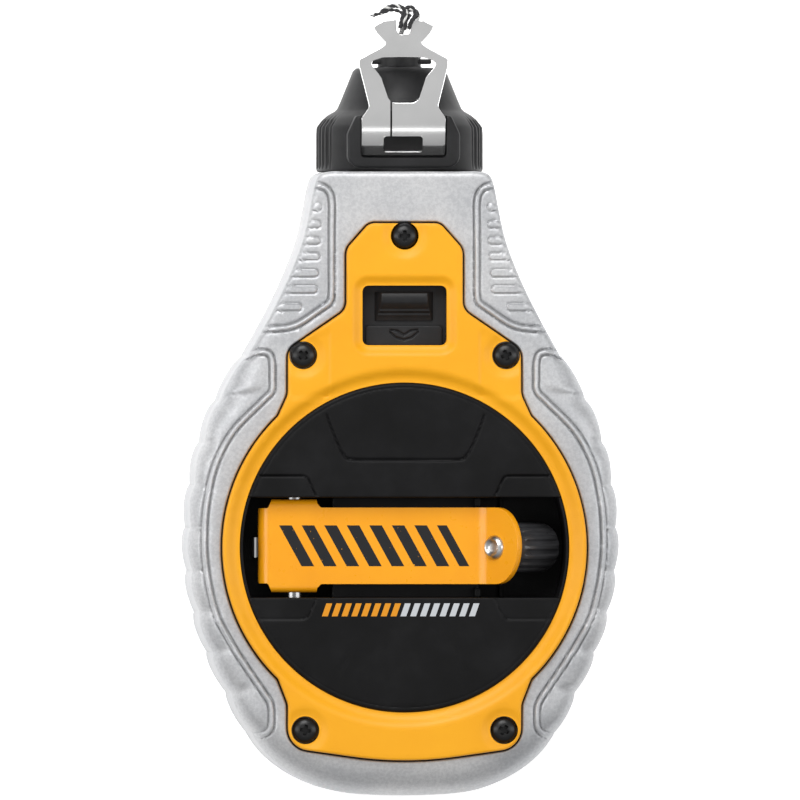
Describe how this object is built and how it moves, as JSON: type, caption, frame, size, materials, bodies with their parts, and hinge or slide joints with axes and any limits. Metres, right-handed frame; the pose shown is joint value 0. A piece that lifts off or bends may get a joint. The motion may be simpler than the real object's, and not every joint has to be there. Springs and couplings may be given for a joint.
{
  "type": "chalk line reel",
  "caption": "Geared chalk line reel: cast case, round crank disc with a fold-away handle, clutch slider, screw-on outlet cap and a sheet steel hook on the line.",
  "frame": {"origin": "centre of the crank and spool axis at the case's back face", "axes": "+Z out of the crank side along the crank axis, +Y toward the line outlet and hook, +X to the right seen from the crank side; the reel lies on its back"},
  "size_m": [0.1036, 0.1891, 0.0548],
  "materials": {
    "cast_aluminium": "fine cast grain, satin",
    "yellow_plastic": "moulded, half gloss",
    "yellow_paint": "enamel on stamped steel",
    "black_plastic": "fine moulded texture",
    "black_rubber": "matte",
    "black_steel": "black oxide",
    "plain_steel": "zinc plated",
    "gear_plastic": "natural nylon",
    "sintered_brass": "machined",
    "felt": "pressed felt",
    "braided_line": "braided, chalk stained",
    "stainless_steel": "polished sheet"
  },
  "bodies": {
    "case": {"case_shell": "cast_aluminium", "front_cover": "yellow_plastic", "cover_seal": "black_rubber", "cover_screws": "black_steel", "gear_plate": "plain_steel", "gear_plate_screws": "black_steel", "hub_felt": "felt", "spool_axle": "plain_steel", "thrust_washers": "plain_steel", "ring_gear": "gear_plastic", "cap_seal": "black_rubber", "line_wiper": "felt", "line_run": "braided_line"},
    "crank_disc": {"crank_disc": "black_plastic", "carrier_plate": "plain_steel", "carrier_screws": "black_steel", "planet_pins": "plain_steel", "crank_pin": "plain_steel", "detent_spring": "plain_steel"},
    "crank_arm": {"crank_arm": "yellow_paint", "knob_rivet": "plain_steel"},
    "knob": {"crank_knob": "black_plastic"},
    "slider": {"clutch_slider": "black_plastic"},
    "spool": {"spool": "black_plastic", "sun_gear": "sintered_brass", "line_winding": "braided_line"},
    "planet_1": {"planet_gear_1": "gear_plastic"},
    "planet_2": {"planet_gear_2": "gear_plastic"},
    "planet_3": {"planet_gear_3": "gear_plastic"},
    "cap": {"nose_cap": "black_plastic", "line_eyelet": "plain_steel"},
    "line": {"line_end": "braided_line"},
    "hook": {"hook": "stainless_steel"}
  },
  "joints": [
    {"name": "crank_spin", "type": "hinge", "parent": "case", "child": "crank_disc", "pos_m": [0, 0, 0.04], "axis": [0, 0, 1], "continuous": true},
    {"name": "crank_fold", "type": "hinge", "parent": "crank_disc", "child": "crank_arm", "pos_m": [-0.0262, 0, 0.042], "axis": [0, -1, 0], "range_deg": [0, 130]},
    {"name": "knob_spin", "type": "hinge", "parent": "crank_arm", "child": "knob", "pos_m": [0.02153, 0, 0.04833], "axis": [0.7071, 0, -0.7071], "continuous": true},
    {"name": "spool_spin", "type": "hinge", "parent": "case", "child": "spool", "pos_m": [0, 0, 0.012], "axis": [0, 0, 1], "continuous": true},
    {"name": "clutch_slide", "type": "slide", "parent": "case", "child": "slider", "axis": [0, -1, 0], "range_m": [0, 0.0038]},
    {"name": "cap_twist", "type": "hinge", "parent": "case", "child": "cap", "pos_m": [0, 0.095, 0.024], "axis": [0, 1, 0], "range_deg": [0, 90]},
    {"name": "line_pull", "type": "slide", "parent": "cap", "child": "line", "axis": [0, 1, 0], "range_m": [0, 0.045]},
    {"name": "hook_swing", "type": "hinge", "parent": "line", "child": "hook", "pos_m": [0, 0.124, 0.0438], "axis": [-1, 0, 0], "range_deg": [0, 100]},
    {"name": "planet_1_spin", "type": "hinge", "parent": "crank_disc", "child": "planet_1", "pos_m": [0, 0.018, 0.025], "axis": [0, 0, 1], "continuous": true},
    {"name": "planet_2_spin", "type": "hinge", "parent": "crank_disc", "child": "planet_2", "pos_m": [-0.01559, -0.009, 0.025], "axis": [0, 0, 1], "continuous": true},
    {"name": "planet_3_spin", "type": "hinge", "parent": "crank_disc", "child": "planet_3", "pos_m": [0.01559, -0.009, 0.025], "axis": [0, 0, 1], "continuous": true}
  ],
  "couplings": [
    {"joint": "spool_spin", "follows": "crank_spin", "ratio": 6},
    {"joint": "planet_1_spin", "follows": "crank_spin", "ratio": -2.5},
    {"joint": "planet_2_spin", "follows": "crank_spin", "ratio": -2.5},
    {"joint": "planet_3_spin", "follows": "crank_spin", "ratio": -2.5}
  ]
}
